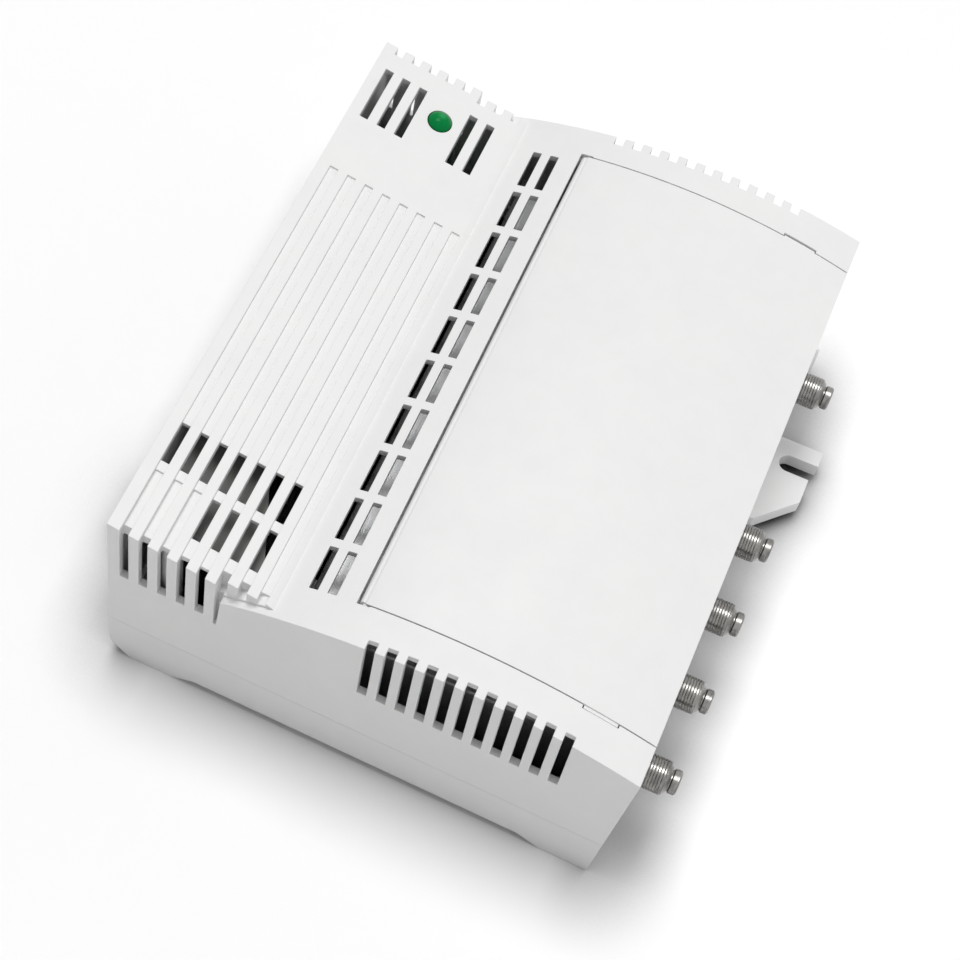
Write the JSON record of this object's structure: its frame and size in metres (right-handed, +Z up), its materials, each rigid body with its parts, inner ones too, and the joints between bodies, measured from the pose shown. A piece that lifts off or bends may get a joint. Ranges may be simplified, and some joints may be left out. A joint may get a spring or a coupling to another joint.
{
  "type": "television signal amplifier",
  "caption": "Wall-mounted television signal amplifier: vented case with a ribbed mains block, coaxial connectors along one side and a hinged lid over the gain controls.",
  "frame": {"origin": "under the middle of the whole part, level with the bottom of its feet", "axes": "+X towards the connectors, +Y along the case towards the indicator, +Z up through the lid"},
  "size_m": [0.1758, 0.1844, 0.0697],
  "materials": {
    "case_white": "fine satin moulding, warm white",
    "nickel": "nickel plate, slightly dulled",
    "lens_green": "clear green lens, smooth dome",
    "board_green": "solder resist over glass laminate",
    "core_grey": "varnished steel laminations",
    "card_grey": "pressed insulating card",
    "moulded_black": "moulded resin, slightly rough",
    "tape_grey": "insulating tape over wire",
    "fuse_glass": "clear tube",
    "terminal_blue": "moulded terminal block",
    "choke_copper": "enamelled wire",
    "film_yellow": "moulded film-capacitor case",
    "sleeve_navy": "shrunk sleeve",
    "sink_grey": "dark anodised extrusion",
    "tinplate": "tinned sheet, lightly brushed",
    "insulator_white": "turned insulator",
    "contact_brass": "spring brass",
    "trimmer_blue": "moulded trimmer case",
    "control_white": "moulded, satin"
  },
  "bodies": {
    "case": {"base_tray": "case_white", "top_cover": "case_white", "cord_gland": "case_white", "cover_screws": "nickel", "psu_screws": "nickel", "chassis_screws": "nickel", "connector_nuts": "nickel", "power_led": "lens_green", "led_board": "board_green", "psu_board": "board_green", "rf_board": "board_green", "transformer_core": "core_grey", "transformer_bobbin": "moulded_black", "transformer_winding": "tape_grey", "fuse": "fuse_glass", "fuse_holder": "moulded_black", "mains_terminal": "terminal_blue", "line_choke": "choke_copper", "suppression_capacitor": "film_yellow", "bridge_rectifier": "moulded_black", "reservoir_capacitor_1": "sleeve_navy", "reservoir_capacitor_2": "sleeve_navy", "regulator": "moulded_black", "heat_sink": "sink_grey", "section_barrier": "card_grey", "rf_chassis": "tinplate", "rf_shield_lid": "tinplate", "amplifier_module": "moulded_black", "feed_through": "contact_brass", "supply_jumper": "moulded_black", "dc_switch_body": "moulded_black", "rf_divider_1": "tinplate", "gain_trimmer_1": "trimmer_blue", "rf_divider_2": "tinplate", "gain_trimmer_2": "trimmer_blue", "rf_divider_3": "tinplate", "gain_trimmer_3": "trimmer_blue", "rf_divider_4": "tinplate", "gain_trimmer_4": "trimmer_blue", "f_connector_1": "nickel", "f_insulator_1": "insulator_white", "f_contact_1": "contact_brass", "f_connector_2": "nickel", "f_insulator_2": "insulator_white", "f_contact_2": "contact_brass", "f_connector_3": "nickel", "f_insulator_3": "insulator_white", "f_contact_3": "contact_brass", "f_connector_4": "nickel", "f_insulator_4": "insulator_white", "f_contact_4": "contact_brass", "f_connector_5": "nickel", "f_insulator_5": "insulator_white", "f_contact_5": "contact_brass"},
    "lid": {"access_lid": "case_white"},
    "knob_1": {"gain_knob_1": "control_white"},
    "knob_2": {"gain_knob_2": "control_white"},
    "knob_3": {"gain_knob_3": "control_white"},
    "knob_4": {"gain_knob_4": "control_white"},
    "slider": {"dc_switch_slider": "control_white"}
  },
  "joints": [
    {"name": "lid_hinge", "type": "hinge", "parent": "case", "child": "lid", "pos_m": [-0.00676, 0, 0.06385], "axis": [0, -1, 0], "range_deg": [0, 100]},
    {"name": "gain_turn_1", "type": "hinge", "parent": "case", "child": "knob_1", "pos_m": [0.03586, -0.0738, 0.0489], "axis": [0, 0, 1], "range_deg": [-135, 135]},
    {"name": "gain_turn_2", "type": "hinge", "parent": "case", "child": "knob_2", "pos_m": [0.03586, -0.0486, 0.0489], "axis": [0, 0, 1], "range_deg": [-135, 135]},
    {"name": "gain_turn_3", "type": "hinge", "parent": "case", "child": "knob_3", "pos_m": [0.03586, -0.0234, 0.0489], "axis": [0, 0, 1], "range_deg": [-135, 135]},
    {"name": "gain_turn_4", "type": "hinge", "parent": "case", "child": "knob_4", "pos_m": [0.03586, 0.0018, 0.0489], "axis": [0, 0, 1], "range_deg": [-135, 135]},
    {"name": "supply_slide", "type": "slide", "parent": "case", "child": "slider", "axis": [0, 1, 0], "range_m": [0, 0.003]}
  ]
}
